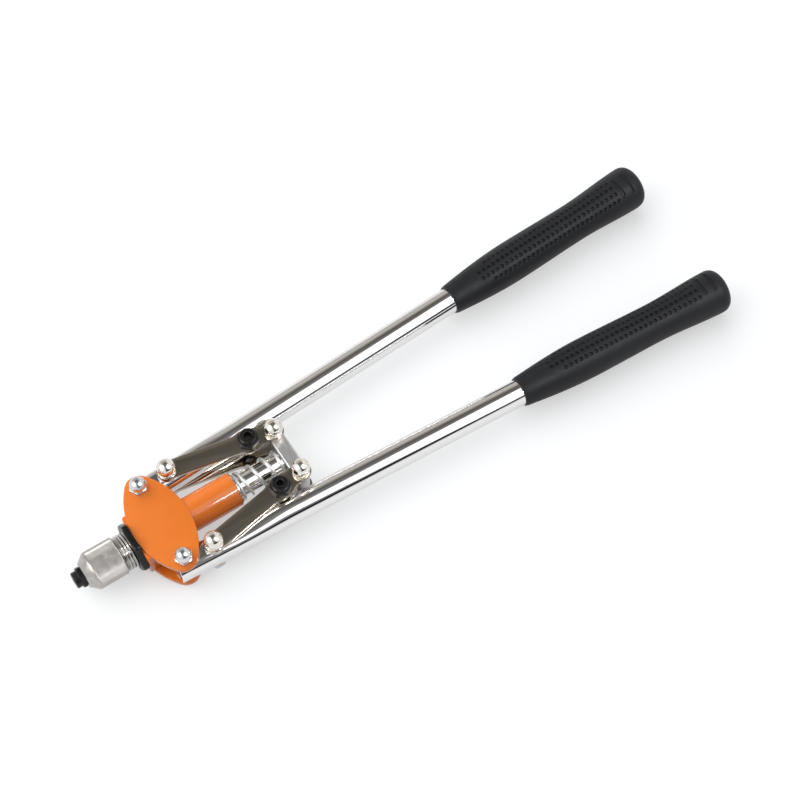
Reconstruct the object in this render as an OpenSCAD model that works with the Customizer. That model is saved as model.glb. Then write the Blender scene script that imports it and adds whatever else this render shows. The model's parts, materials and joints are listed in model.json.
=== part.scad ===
// Two-arm hand riveter, millimetres.
// The origin is the centre of the nosepiece's front face. +X runs back along the pulling axis
// to the handles, +Z is up when the tool lies flat, and +Y is the right-hand handle's side.

/* [Nosepieces] */
// Diameter of the mandrel hole in the fitted nosepiece
mandrel_hole_d = 3.2; // [2:0.1:4.2]
// Diameter of the nosepiece's round tip
nosepiece_tip_d = 10; // [8:0.1:11]
// Length of the round tip
nosepiece_tip_l = 3.2; // [2:0.1:5]
// Nosepiece hexagon across flats
nosepiece_hex_af = 12; // [11.5:0.1:14]
// Thickness of the nosepiece hexagon
nosepiece_hex_l = 3; // [2:0.1:5]
// Diameter of the nosepiece thread
nosepiece_thread_d = 7.6; // [6.5:0.1:8.2]
// Length of the fitted nosepiece's thread
nosepiece_thread_l = 7.4; // [5:0.1:8]
// Length of the tail that opens the jaws
nosepiece_tail_l = 1.8; // [1:0.1:2]
// Diameter of that tail
nosepiece_tail_d = 5.6; // [5:0.1:6]
// Mandrel holes of the spare nosepieces, left and right
spare_hole_d = [4, 4.8]; // [2:0.1:5]

/* [Nose housing] */
// Diameter of the front face
housing_front_d = 15.8; // [15.5:0.1:18]
// Diameter of the knurled sleeve
housing_d = 23.8; // [22:0.1:26]
// Length of the front cone
housing_cone_l = 5; // [3:0.1:8]
// Length of the knurled sleeve
housing_knurl_l = 18.4; // [15:0.1:24]
// Outer diameter of the exposed thread
housing_thread_d = 22.4; // [21:0.1:24]
// Length of thread in front of the lock nut
housing_thread_l = 7.2; // [5:0.1:10]
// Wall of the hollow spigot that screws into the head
spigot_wall = 1.4; // [1:0.1:1.6]
// Length of that spigot
spigot_l = 9; // [6:0.1:11]
// Lock nut across flats
lock_nut_af = 28.2; // [27:0.1:32]
// Thickness of the lock nut
lock_nut_t = 4; // [3:0.1:6]

/* [Head] */
// Distance of the head plates behind the front block's face, which clears the lock nut
plate_setback = 0.1; // [0.1:0.1:2]
// Distance of each handle pivot from the pulling axis
pivot_y = 26.2; // [24:0.1:34]
// Greatest width of a head plate along the tool
plate_w = 35.2; // [33:0.1:36]
// Distance from each pivot out to the tip of the plate
plate_tip = 7.8; // [7.5:0.1:9]
// Radius of a head plate's ends
plate_end_r = 8.5; // [8:0.1:9]
// Thickness of a head plate
plate_t = 3.1; // [2.5:0.1:4]
// Space between the two head plates
plate_gap = 16.2; // [15.8:0.1:20]
// Space between the front block and a handle that swings past it
block_gap = 0.6; // [0.3:0.1:2]
// Length of the front block along the tool
block_l = 9.4; // [8:0.1:10]
// Outer diameter of the barrel
barrel_d = 21.4; // [21:0.1:22.2]
// Distance the barrel reaches behind the pivots
barrel_reach = 48.4; // [42:0.1:52]
// Length of the guide bore at the barrel's rear end
guide_l = 10; // [6:0.1:14]
// Thickness of the steel ring at the barrel's rear end
end_ring_t = 0.9; // [0.6:0.1:1.4]
// Outer diameter of that ring
end_ring_d = 20.2; // [19:0.1:21]

/* [Pull unit] */
// Diameter of the pull rod
rod_d = 14.2; // [12:0.1:17.2]
// Step from the pull rod out to the jaw case
case_step = 0.3; // [0.2:0.1:0.5]
// Length of the jaw case
jaw_case_l = 24; // [23:0.1:26]
// Length of one jaw
jaw_l = 8.2; // [7:0.1:9]
// Jaw bore diameter, closed on a mandrel
jaw_bore_d = 2.8; // [2:0.1:3.2]
// Distance from the pivots back to the yoke's middle
yoke_setback = 85.2; // [70:0.1:105]
// Thickness of the yoke along the tool
yoke_t = 9.4; // [9:0.1:12]
// Distance of each yoke bolt from the pulling axis
yoke_bolt_y = 15.3; // [14:0.1:16]
// Return spring wire diameter
spring_wire_d = 1.7; // [1.2:0.1:1.8]
// Number of turns in the return spring
spring_turns = 5; // [4:1:7]

/* [Handles] */
// Angle between each handle and the pulling axis when closed
handle_angle = 3; // [2:0.5:5]
// Diameter of the handle tube
tube_d = 16.3; // [15:0.1:16.6]
// Wall of the handle tube
tube_wall = 1.5; // [1:0.1:2]
// Height of the flattened front part of the tube
flat_h = 13.8; // [13:0.1:14.4]
// Corner radius of the flattened front part
flat_r = 5.4; // [3:0.1:6]
// Length of tube in front of the pivot
tube_nose = 5.6; // [4.5:0.1:6]
// Distance from the pivot to the end of the flattened part
flat_reach = 34; // [30:1:45]
// Distance from the pivot to where the tube is round
round_reach = 64; // [55:1:90]
// Distance from the pivot to the link bolt
link_arm = 19.3; // [18:0.1:22]
// Distance from the pivot to the front of the grip
grip_reach = 225; // [180:1:300]
// Length of the grip up to its domed end
grip_l = 141; // [115:1:165]
// Height of the grip's domed end
grip_dome = 6; // [4:0.5:9]
// Grip diameter at its front rim
grip_rim_d = 18.6; // [18:0.1:20]
// Grip diameter at its belly
grip_belly_d = 25.4; // [23:0.1:28]
// Grip diameter at its waist
grip_waist_d = 24.2; // [22:0.1:27]
// Grip diameter at its flared end
grip_end_d = 28.2; // [26:0.1:30]

/* [Links and fasteners] */
// Width of a link strap
link_w = 11.5; // [11:0.1:12]
// Thickness of a link strap
link_t = 2.7; // [2:0.1:3]
// Radius of the round boss that holds a spare nosepiece
link_boss_r = 7.4; // [6.5:0.1:8]
// Distance from the yoke bolt to that boss
link_boss_reach = 16; // [15:0.1:18]
// Thread diameter of the bolts
bolt_d = 6; // [5:0.1:6]
// Hexagon of bolts and nuts across flats
hex_af = 10; // [9.5:0.1:10.5]
// Thickness of a bolt head
bolt_head_t = 4; // [3:0.1:4.5]
// Height of the head nuts' hexagon
cap_hex_h = 3; // [3:0.1:6]
// Diameter of the head nuts' dome
cap_dome_d = 10; // [9:0.1:10]
// Height of the link nuts' hexagon
ball_hex_h = 2; // [2:0.1:4]
// Diameter of the link nuts' ball
ball_d = 11.2; // [10:0.1:11.4]
// Extra radius of a link's rear hole, which takes up the linkage's arc
link_slack = 1.35; // [1.3:0.05:1.5]
// Radial clearance of a pin that turns in its hole
turn_gap = 0.08; // [0.02:0.01:0.1]
// Side clearance between a moving strap and its neighbour
side_gap = 0.1; // [0.05:0.05:0.2]

/* [Hidden] */
$fn = 64;
left = -1;
right = 1;

// Small values shared by several pieces
overlap = 1;
thread_start = 0.5;
chamfer = 0.8;
case_gap = 0.5;
slide_gap = 0.05;
rest_gap = 0.05;
hex_corner = 1 / cos(30);

// Places along the pulling axis
hex_x = nosepiece_tip_l;
housing_x = hex_x + nosepiece_hex_l;
cone_end_x = housing_x + housing_cone_l;
knurl_end_x = cone_end_x + housing_knurl_l;
lock_nut_x = knurl_end_x + housing_thread_l;
head_x = lock_nut_x + lock_nut_t;
pivot_x = head_x + plate_setback + plate_w / 2;
spigot_end_x = head_x + spigot_l;
barrel_end_x = pivot_x + barrel_reach;
guide_x = barrel_end_x - guide_l;
ring_end_x = barrel_end_x + end_ring_t;
yoke_x = pivot_x + yoke_setback;
yoke_front_x = yoke_x - yoke_t / 2;
yoke_rear_x = yoke_x + yoke_t / 2;
thread_end_x = housing_x + nosepiece_thread_l;
tail_end_x = thread_end_x + nosepiece_tail_l;
cavity_x = thread_end_x + thread_start;

// Heights above the middle plane
plate_in_z = plate_gap / 2;
plate_out_z = plate_in_z + plate_t;
flat_z = flat_h / 2;
washer_t = plate_in_z - flat_z - side_gap;
link_in_z = plate_in_z;
link_out_z = link_in_z + link_t;
nut_z = link_out_z + side_gap;
yoke_h = 2 * (link_in_z - 2 * side_gap);

// Bores and threads
bolt_r = bolt_d / 2;
turn_r = bolt_r + turn_gap;
slack_r = bolt_r + link_slack;
rod_r = rod_d / 2;
case_r = rod_r + case_step;
cavity_r = case_r + case_gap;
spigot_r = cavity_r + spigot_wall;
guide_r = rod_r + turn_gap;
wedge_front_r = 3.4;
wedge_rear_r = 5.5;
case_thread_l = 6;
yoke_thread_r = 5;

// Jaw case, at rest with the handles closed
stroke_room = 10.4;
case_x = tail_end_x + stroke_room;
case_end_x = case_x + jaw_case_l;
wedge_end_x = case_x + jaw_l + 0.3;
jaw_x = wedge_end_x - jaw_l;
jaw_slot = 0.6;
pusher_l = 2.8;
pusher_x = wedge_end_x + slide_gap;
pusher_end_x = pusher_x + pusher_l;
pusher_r = wedge_rear_r - case_gap;
pusher_nose_r = 3;
rod_front_x = case_end_x;
rod_thread_x = case_end_x - case_thread_l;

// Half of the front block's width: clear of the corner that a handle swings round its pivot
block_y = pivot_y - norm([tube_nose, tube_d / 2]) - block_gap;

// Link line, closed: from the bolt on the handle to the bolt on the yoke
link_bolt_x = pivot_x + link_arm * cos(handle_angle);
link_bolt_y = pivot_y + link_arm * sin(handle_angle);
link_dx = yoke_x - link_bolt_x;
link_dy = link_bolt_y - yoke_bolt_y;
link_l = sqrt(link_dx * link_dx + link_dy * link_dy);
link_angle = atan2(link_dy, link_dx);
link_end_r = link_w / 2 + 0.3;

// Points of an arc about a centre, from one angle to another
function arc(c, r, a0, a1, n) = [for (i = [0:n]) let (a = a0 + (a1 - a0) * i / n)
    [c[0] + r * cos(a), c[1] + r * sin(a)]];

// A rise from 0 to 1 that starts and ends level
function ease(t) = t * t * (3 - 2 * t);

// Lays a solid that was drawn along +Z down along +X, from the given place on the pulling axis
module along_x(x) {
    translate([x, 0, 0]) rotate([0, 90, 0]) children();
}

// A stepped or tapered turned solid: points are [place along X, radius]
module turned(points) {
    first = points[0];
    last = points[len(points) - 1];
    outline = concat([[0, first[0]]], [for (p = points) [p[1], p[0]]], [[0, last[0]]]);
    along_x(0) rotate_extrude($fn = 96) polygon(outline);
}

module hexagon(af, h) {
    cylinder(d = af * hex_corner, h = h, $fn = 6);
}

// A hexagon whose outer corners are turned down to a cone at both faces
module chamfered_hexagon(af, h) {
    r = af * hex_corner / 2;
    intersection() {
        hexagon(af, h);
        rotate_extrude() polygon([[0, 0], [r - chamfer, 0], [r, chamfer / 2],
            [r, h - chamfer / 2], [r - chamfer, h], [0, h]]);
    }
}

// One coil spring along X: closed flat turns at both ends, even pitch between them
module coil_spring(x0, x1, mean_r, wire_d, turns) {
    sides = 8;
    steps = 24;
    n = turns * steps;
    free = x1 - x0 - wire_d * 3;
    wire_r = wire_d / 2;
    // Rise of the wire's centre along the spring after a share t of its turns
    function rise(t) = let (u = t * turns)
        u < 1 ? wire_d * u
        : u > turns - 1 ? wire_d + free + wire_d * (u - turns + 1)
        : wire_d + free * (u - 1) / (turns - 2);
    ring = [for (i = [0:n]) for (k = [0:sides - 1])
        let (a = 360 * i / steps, b = 360 * k / sides, r = mean_r + wire_r * cos(b))
        [x0 + wire_r + rise(i / n) + wire_r * sin(b), r * cos(a), r * sin(a)]];
    walls = [for (i = [0:n - 1]) for (k = [0:sides - 1])
        let (p = i * sides + k, q = i * sides + (k + 1) % sides)
        each [[p, q, q + sides], [p, q + sides, p + sides]]];
    start = [for (k = [sides - 1:-1:0]) k];
    end = [for (k = [0:sides - 1]) n * sides + k];
    polyhedron(points = ring, faces = concat(walls, [start, end]), convexity = 8);
}

// Outline of a head plate: two broad arcs that meet in round ends at the pivots
module plate_outline() {
    w = plate_w / 2 - plate_end_r;
    l = pivot_y + plate_tip - plate_end_r;
    side_r = (l * l + w * w) / (2 * w);
    outer_r = side_r + plate_end_r;
    sweep = atan2(l, side_r - w);
    rear = arc([w - side_r, 0], outer_r, -sweep, sweep, 1);
    intersection() {
        translate([w - side_r, 0]) circle(r = outer_r, $fn = 256);
        translate([side_r - w, 0]) circle(r = outer_r, $fn = 256);
        square([plate_w, 2 * rear[1][1]], center = true);
    }
    for (s = [left, right])
        translate([0, s * l]) circle(r = plate_end_r);
}

module head_plate(z) {
    translate([pivot_x, 0, z]) linear_extrude(plate_t) plate_outline();
}

module head_casting() {
    color("darkorange") difference() {
        union() {
            head_plate(plate_in_z);
            head_plate(-plate_out_z);
            along_x(head_x + block_l - overlap)
                cylinder(d = barrel_d, h = barrel_end_x - head_x - block_l + overlap);
            translate([head_x, -block_y, -plate_in_z - overlap])
                cube([block_l, 2 * block_y, 2 * (plate_in_z + overlap)]);
        }
        along_x(head_x - overlap) cylinder(r = spigot_r, h = spigot_l + overlap);
        along_x(spigot_end_x - overlap) cylinder(r = cavity_r, h = guide_x - spigot_end_x + overlap);
        along_x(guide_x - overlap) cylinder(r = guide_r, h = guide_l + 2 * overlap);
        for (s = [left, right])
            translate([pivot_x, s * pivot_y, -plate_out_z - overlap])
                cylinder(r = bolt_r, h = 2 * (plate_out_z + overlap));
    }
}

module barrel_end_ring() {
    color("silver") along_x(barrel_end_x) difference() {
        cylinder(d = end_ring_d, h = end_ring_t);
        translate([0, 0, -overlap]) cylinder(r = guide_r, h = end_ring_t + 2 * overlap);
    }
}

module nose_housing() {
    groove_w = 0.9;
    color("slategray") difference() {
        turned([[housing_x, housing_front_d / 2], [cone_end_x, housing_d / 2],
            [knurl_end_x, housing_d / 2], [knurl_end_x, housing_thread_d / 2],
            [head_x - rest_gap, housing_thread_d / 2], [head_x - rest_gap, spigot_r],
            [spigot_end_x, spigot_r]]);
        along_x(housing_x - overlap) cylinder(d = nosepiece_thread_d, h = nosepiece_thread_l + 2 * overlap);
        along_x(cavity_x) cylinder(r = cavity_r, h = spigot_end_x - cavity_x + overlap);
        along_x(knurl_end_x) difference() {
            cylinder(d = housing_thread_d + overlap, h = groove_w);
            cylinder(d = housing_thread_d - groove_w, h = groove_w);
        }
    }
}

module nose_lock_nut() {
    color("dimgray") along_x(lock_nut_x) difference() {
        rotate([0, 0, 30]) chamfered_hexagon(lock_nut_af, lock_nut_t - rest_gap);
        translate([0, 0, -overlap]) cylinder(d = housing_thread_d, h = lock_nut_t + 2 * overlap);
    }
}

// A nosepiece with the seat of its hexagon at z = 0 and its tip up
module nosepiece_form(hole_d) {
    tail_z = -nosepiece_thread_l - nosepiece_tail_l;
    tip_z = nosepiece_hex_l + nosepiece_tip_l;
    difference() {
        union() {
            rotate([0, 0, 30]) hexagon(nosepiece_hex_af, nosepiece_hex_l);
            cylinder(d = nosepiece_tip_d, h = tip_z);
            translate([0, 0, -nosepiece_thread_l])
                cylinder(d = nosepiece_thread_d, h = nosepiece_thread_l + overlap);
            translate([0, 0, tail_z]) cylinder(d = nosepiece_tail_d, h = nosepiece_tail_l + overlap);
        }
        translate([0, 0, tail_z - overlap]) cylinder(d = hole_d, h = tip_z - tail_z + 2 * overlap);
    }
}

module nosepiece() {
    color("black") translate([housing_x, 0, 0]) rotate([0, -90, 0]) nosepiece_form(mandrel_hole_d);
}

module spare_nosepiece(s, hole_d) {
    color("black") on_link(s) translate([link_l - link_boss_reach, 0, link_out_z])
        nosepiece_form(hole_d);
}

module spare_nosepiece_left() { spare_nosepiece(left, spare_hole_d[0]); }
module spare_nosepiece_right() { spare_nosepiece(right, spare_hole_d[1]); }

// A hexagon-head bolt that stands up from its head: its shank ends inside its cap nut
module bolt(head_z, tip_z) {
    translate([0, 0, head_z - bolt_head_t]) chamfered_hexagon(hex_af, bolt_head_t);
    translate([0, 0, head_z - overlap]) cylinder(r = bolt_r, h = tip_z - head_z + overlap);
}

// Nut closed by part of a ball that starts inside its hexagon
module closed_nut(hex_h, ball_z, round_d, thread_h) {
    difference() {
        union() {
            chamfered_hexagon(hex_af, hex_h);
            intersection() {
                translate([0, 0, ball_z]) sphere(d = round_d);
                translate([-round_d, -round_d, hex_h / 2]) cube(2 * round_d);
            }
        }
        translate([0, 0, -overlap]) cylinder(r = bolt_r, h = thread_h + overlap);
    }
}

// Low hexagon with nearly a whole ball on top, as the link nuts have
module ball_nut() {
    closed_nut(ball_hex_h, ball_hex_h + ball_d * 0.15, ball_d, 4.2);
}

// Taller hexagon with a dome, as the head nuts have
module dome_nut() {
    closed_nut(cap_hex_h, cap_hex_h + overlap, cap_dome_d, 6.5);
}

module at_pivots() {
    for (s = [left, right])
        translate([pivot_x, s * pivot_y, 0]) children();
}

module head_bolts() {
    color("silver") at_pivots() bolt(-plate_out_z, plate_out_z + 6);
}

module head_cap_nuts() {
    color("silver") at_pivots() translate([0, 0, plate_out_z]) dome_nut();
}

// Washers fill the space between a handle and the plates, less a side clearance
module washer(z) {
    translate([0, 0, z]) difference() {
        cylinder(r = bolt_r * 2, h = washer_t);
        translate([0, 0, -overlap]) cylinder(r = bolt_r, h = washer_t + 2 * overlap);
    }
}

module head_washers() {
    color("gainsboro") at_pivots() {
        washer(plate_in_z - washer_t);
        washer(-plate_in_z);
    }
}

module jaw_case() {
    color("dimgray") difference() {
        turned([[case_x, case_r - chamfer], [case_x + chamfer, case_r], [case_end_x, case_r]]);
        along_x(case_x - overlap) cylinder(r = wedge_front_r, h = 2 * overlap);
        along_x(case_x) cylinder(r1 = wedge_front_r, r2 = wedge_rear_r, h = wedge_end_x - case_x);
        along_x(wedge_end_x - rest_gap)
            cylinder(r = wedge_rear_r, h = case_end_x - wedge_end_x + overlap);
    }
}

// Three jaws: a cone that fits the jaw case, bored for the mandrel and split in three
module jaws() {
    slope = (wedge_rear_r - wedge_front_r) / (wedge_end_x - case_x);
    rear_r = wedge_rear_r - slide_gap;
    front_r = rear_r - slope * jaw_l;
    color("gray") along_x(jaw_x) difference() {
        cylinder(r1 = front_r, r2 = rear_r, h = jaw_l);
        translate([0, 0, -overlap]) cylinder(d = jaw_bore_d, h = jaw_l + 2 * overlap);
        for (a = [0:120:240])
            rotate([0, 0, a]) translate([0, -jaw_slot / 2, -overlap])
                cube([wedge_rear_r + overlap, jaw_slot, jaw_l + 2 * overlap]);
    }
}

module jaw_pusher() {
    color("gray") difference() {
        turned([[pusher_x, pusher_nose_r], [pusher_x + chamfer, pusher_nose_r],
            [pusher_x + 2 * chamfer, pusher_r], [pusher_end_x, pusher_r]]);
        along_x(pusher_x - overlap) cylinder(d = jaw_bore_d, h = pusher_l + 2 * overlap);
    }
}

module jaw_spring() {
    color("silver") coil_spring(pusher_end_x + rest_gap, rod_thread_x - rest_gap, 3.6, 0.8, 4);
}

module pull_rod() {
    color("silver") turned([[rod_thread_x, wedge_rear_r], [rod_front_x, wedge_rear_r],
        [rod_front_x, rod_r], [yoke_front_x, rod_r],
        [yoke_front_x, yoke_thread_r], [yoke_rear_x, yoke_thread_r]]);
}

module return_spring() {
    mean_r = rod_r + spring_wire_d / 2 + 0.2;
    color("gainsboro")
        coil_spring(ring_end_x + rest_gap, yoke_front_x - rest_gap, mean_r, spring_wire_d, spring_turns);
}

module yoke() {
    color("silver") difference() {
        union() {
            translate([yoke_x, 0, 0]) cube([yoke_t, 2 * yoke_bolt_y, yoke_h], center = true);
            for (s = [left, right])
                translate([yoke_x, s * yoke_bolt_y, 0]) cylinder(d = yoke_t, h = yoke_h, center = true);
        }
        along_x(yoke_front_x - overlap) cylinder(r = yoke_thread_r, h = yoke_t + 2 * overlap);
        at_yoke_bolts() cylinder(r = bolt_r, h = yoke_h + overlap, center = true);
    }
}

module at_yoke_bolts() {
    for (s = [left, right])
        translate([yoke_x, s * yoke_bolt_y, 0]) children();
}

module yoke_bolts() {
    color("silver") at_yoke_bolts() bolt(-nut_z, nut_z + 4);
}

module yoke_cap_nuts() {
    color("gainsboro") at_yoke_bolts() translate([0, 0, nut_z]) ball_nut();
}

// Places its children in a handle's own frame: X along the tube from the pivot
module on_handle(s) {
    translate([pivot_x, s * pivot_y, 0]) rotate([0, 0, s * handle_angle]) children();
}

module rounded_rectangle(w, h, r) {
    square([w - 2 * r, h], center = true);
    square([w, h - 2 * r], center = true);
    for (x = [-1, 1], y = [-1, 1])
        translate([x * (w / 2 - r), y * (h / 2 - r)]) circle(r = r, $fn = 32);
}

// The tube's outside, or its bore when shrunk by the wall: flattened, blended, then round
module tube_form(shrink, extra) {
    w = tube_d - 2 * shrink;
    h = flat_h - 2 * shrink;
    r = flat_r - shrink;
    blend_l = round_reach - flat_reach;
    corner_r = norm([w / 2 - r, h / 2 - r]) + r;
    end = grip_reach + grip_l - 2 * tube_wall;
    translate([-tube_nose - extra, 0, 0]) rotate([90, 0, 90])
        linear_extrude(tube_nose + flat_reach + extra) rounded_rectangle(w, h, r);
    intersection() {
        rotate([90, 0, 0]) linear_extrude(w, center = true)
            polygon([[flat_reach, -h / 2], [round_reach, -w / 2], [round_reach, w / 2],
                [flat_reach, h / 2]]);
        along_x(flat_reach) cylinder(r1 = corner_r, r2 = w / 2, h = blend_l);
    }
    along_x(round_reach) cylinder(d = w, h = end - round_reach + extra);
}

module handle_tube(s) {
    color("gainsboro") on_handle(s) difference() {
        tube_form(0, 0);
        tube_form(tube_wall, overlap);
        for (x = [0, link_arm])
            translate([x, 0, 0]) cylinder(r = x == 0 ? turn_r : bolt_r, h = tube_d, center = true);
    }
}

module handle_tube_left() { handle_tube(left); }
module handle_tube_right() { handle_tube(right); }

// Grip radius at a share t of its length: rim, belly, waist and flared end
function grip_r(t) =
    t < 0.34 ? (grip_rim_d + (grip_belly_d - grip_rim_d) * sin(90 * t / 0.34)) / 2
    : t < 0.68 ? (grip_belly_d + (grip_waist_d - grip_belly_d) * ease((t - 0.34) / 0.34)) / 2
    : (grip_waist_d + (grip_end_d - grip_waist_d) * ease((t - 0.68) / 0.32)) / 2;

module grip(s) {
    steps = 16;
    round_r = 2.4;
    body = [for (i = [0:steps]) let (t = i / steps) [grip_reach + grip_l * t, grip_r(t)]];
    end_x = grip_reach + grip_l;
    dome = [for (a = [15:15:75]) [end_x + grip_dome * sin(a), grip_end_d / 2 * cos(a)]];
    color("black") on_handle(s) difference() {
        turned(concat(body, dome, [[end_x + grip_dome, round_r]]));
        along_x(grip_reach - overlap) cylinder(d = tube_d, h = grip_l - 2 * tube_wall + overlap);
    }
}

module grip_left() { grip(left); }
module grip_right() { grip(right); }

module at_link_bolt(s) {
    on_handle(s) translate([link_arm, 0, 0]) children();
}

module link_bolt(s) {
    color("silver") at_link_bolt(s) bolt(-nut_z, nut_z + 4);
}

module link_bolt_left() { link_bolt(left); }
module link_bolt_right() { link_bolt(right); }

module link_cap_nut(s) {
    color("gainsboro") at_link_bolt(s) translate([0, 0, nut_z]) ball_nut();
}

module link_cap_nut_left() { link_cap_nut(left); }
module link_cap_nut_right() { link_cap_nut(right); }

module link_washers(s) {
    color("gainsboro") at_link_bolt(s) {
        washer(flat_z);
        washer(-flat_z - washer_t);
    }
}

module link_washers_left() { link_washers(left); }
module link_washers_right() { link_washers(right); }

// Places its children in a link's own frame: X from the handle's bolt to the yoke's bolt
module on_link(s) {
    translate([link_bolt_x, s * link_bolt_y, 0]) rotate([0, 0, -s * link_angle]) children();
}

module link(s, z, threaded) {
    color("dimgray") on_link(s) translate([0, 0, z]) difference() {
        linear_extrude(link_t) difference() {
            union() {
                translate([0, -link_w / 2]) square([link_l, link_w]);
                circle(r = link_end_r);
                translate([link_l, 0]) circle(r = link_end_r);
                translate([link_l - link_boss_reach, 0]) circle(r = link_boss_r);
            }
        }
        translate([0, 0, -overlap]) cylinder(r = turn_r, h = link_t + 2 * overlap);
        translate([link_l, 0, -overlap]) cylinder(r = slack_r, h = link_t + 2 * overlap);
        if (threaded)
            translate([link_l - link_boss_reach, 0, -overlap])
                cylinder(d = nosepiece_thread_d, h = link_t + 2 * overlap);
    }
}

module link_top_left() { link(left, link_in_z, true); }
module link_top_right() { link(right, link_in_z, true); }
module link_bottom_left() { link(left, -link_out_z, false); }
module link_bottom_right() { link(right, -link_out_z, false); }

head_casting();
barrel_end_ring();
nose_housing();
nose_lock_nut();
nosepiece();
head_bolts();
head_cap_nuts();
head_washers();
jaw_case();
jaws();
jaw_pusher();
jaw_spring();
pull_rod();
return_spring();
yoke();
yoke_bolts();
yoke_cap_nuts();
handle_tube_left();
handle_tube_right();
grip_left();
grip_right();
link_bolt_left();
link_bolt_right();
link_cap_nut_left();
link_cap_nut_right();
link_washers_left();
link_washers_right();
link_top_left();
link_top_right();
link_bottom_left();
link_bottom_right();
spare_nosepiece_left();
spare_nosepiece_right();
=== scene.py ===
import json
import math

import bmesh
import bpy
import numpy as np
from mathutils import Matrix, Vector


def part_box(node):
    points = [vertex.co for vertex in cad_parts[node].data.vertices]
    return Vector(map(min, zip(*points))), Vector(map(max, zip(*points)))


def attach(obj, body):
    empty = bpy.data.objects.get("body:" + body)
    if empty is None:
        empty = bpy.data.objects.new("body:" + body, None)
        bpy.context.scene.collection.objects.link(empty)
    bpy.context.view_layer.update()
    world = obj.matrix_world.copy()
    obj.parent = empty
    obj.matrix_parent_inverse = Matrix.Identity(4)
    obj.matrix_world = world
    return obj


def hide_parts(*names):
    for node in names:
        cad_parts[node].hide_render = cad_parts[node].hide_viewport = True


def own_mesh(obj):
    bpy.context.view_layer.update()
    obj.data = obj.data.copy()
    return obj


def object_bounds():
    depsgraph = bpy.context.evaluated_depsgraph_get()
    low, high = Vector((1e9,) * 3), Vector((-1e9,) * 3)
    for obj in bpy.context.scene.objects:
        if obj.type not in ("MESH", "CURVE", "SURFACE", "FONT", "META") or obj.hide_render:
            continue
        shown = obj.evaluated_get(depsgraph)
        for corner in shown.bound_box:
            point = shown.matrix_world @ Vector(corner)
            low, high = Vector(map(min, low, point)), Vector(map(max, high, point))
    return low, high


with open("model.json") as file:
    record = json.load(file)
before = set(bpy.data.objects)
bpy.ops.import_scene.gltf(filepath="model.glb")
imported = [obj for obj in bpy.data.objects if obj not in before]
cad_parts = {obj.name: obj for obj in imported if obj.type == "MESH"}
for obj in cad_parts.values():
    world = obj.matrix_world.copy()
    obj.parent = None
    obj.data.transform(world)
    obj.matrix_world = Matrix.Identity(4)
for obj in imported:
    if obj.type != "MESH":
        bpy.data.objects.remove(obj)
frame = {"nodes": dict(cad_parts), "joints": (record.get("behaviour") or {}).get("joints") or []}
CAD_BOX = [list(corner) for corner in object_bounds()]

MM = 0.001
SIDES = {"left": -1, "right": 1}

# Sizes in millimetres that the looks add to the frame's own
PLATE_W = 35.2
PLATE_T = 3.1
PLATE_TIP = 7.8
PLATE_END_R = 8.5
BLOCK_L = 9.4
BLOCK_HALF_W = 15.7
BARREL_R = 10.7
ROD_R = 7.1
BOLT_R = 3.0
HEX_AF = 10.0
BOLT_HEAD_T = 4.0
LINK_W = 11.5
LINK_END_R = 6.05
LINK_BOSS_R = 7.4
LINK_BOSS_REACH = 16.0
SLACK_R = 4.35
TUBE_R = 8.15
TUBE_WALL = 1.5
TUBE_NOSE = 5.6
FLAT_HALF_H = 6.9
FLAT_CORNER = 5.4
FLAT_REACH = 30.0
ROUND_REACH = 70.0
GRIP_REACH = 225.0
GRIP_L = 141.0
GRIP_DOME = 6.0
GRIP_END_R = 14.1
NOSE_THREAD_R = 3.8
FITTED_HOLE_R = 1.6
SPARE_HOLE_R = {"left": 2.0, "right": 2.4}
SPIGOT_R = 9.3
CAVITY_R = 7.9

# The point that the camera and the lamps look at, in metres
AIM = Vector((0.2202, -0.0034, 0.0))


# ---------------------------------------------------------------- places taken from the frame
def low(node):
    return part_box(node)[0] / MM


def high(node):
    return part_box(node)[1] / MM


def joint_place(name):
    joint = next(j for j in frame["joints"] if j["name"] == name)
    return Vector(joint["pos_m"]) / MM


PIVOT = {s: joint_place(f"handle_{s}_pivot") for s in SIDES}
LINK_PIN = {s: joint_place(f"links_{s}_pivot") for s in SIDES}
YOKE_X = (low("yoke").x + high("yoke").x) / 2
YOKE_PIN = {s: Vector((YOKE_X, g * (high("yoke_bolts").y - HEX_AF / 2), 0)) for s, g in SIDES.items()}
HEAD_X = low("head_casting").x
BARREL_END_X = high("head_casting").x
PLATE_OUT_Z = high("head_casting").z
PLATE_IN_Z = PLATE_OUT_Z - PLATE_T
LINK_IN_Z = low("link_top_left").z
LINK_OUT_Z = high("link_top_left").z
NUT_Z = low("link_cap_nut_left").z


def frame_matrix(origin, x_axis):
    """A frame at origin whose X runs along x_axis and whose Z is up."""
    x = Vector(x_axis).normalized()
    z = Vector((0, 0, 1))
    y = z.cross(x)
    rotation = Matrix((x, y, z)).transposed().to_4x4()
    return Matrix.Translation(origin) @ rotation


def handle_frame(side):
    return frame_matrix(PIVOT[side], LINK_PIN[side] - PIVOT[side])


def link_frame(side):
    return frame_matrix(LINK_PIN[side], YOKE_PIN[side] - LINK_PIN[side])


LINK_L = (YOKE_PIN["left"] - LINK_PIN["left"]).length
# Turns a solid made along +Z so that it lies along +X, or along -X
ALONG_X = Matrix.Rotation(math.pi / 2, 4, "Y")
ALONG_MINUS_X = Matrix.Rotation(-math.pi / 2, 4, "Y")


def at(x, y, z):
    return Matrix.Translation((x, y, z))


# ---------------------------------------------------------------- shapes: (vertices, faces) in mm
def moved(shape, matrix):
    points, faces = shape
    m = np.array(matrix)
    return points @ m[:3, :3].T + m[:3, 3], faces


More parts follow.
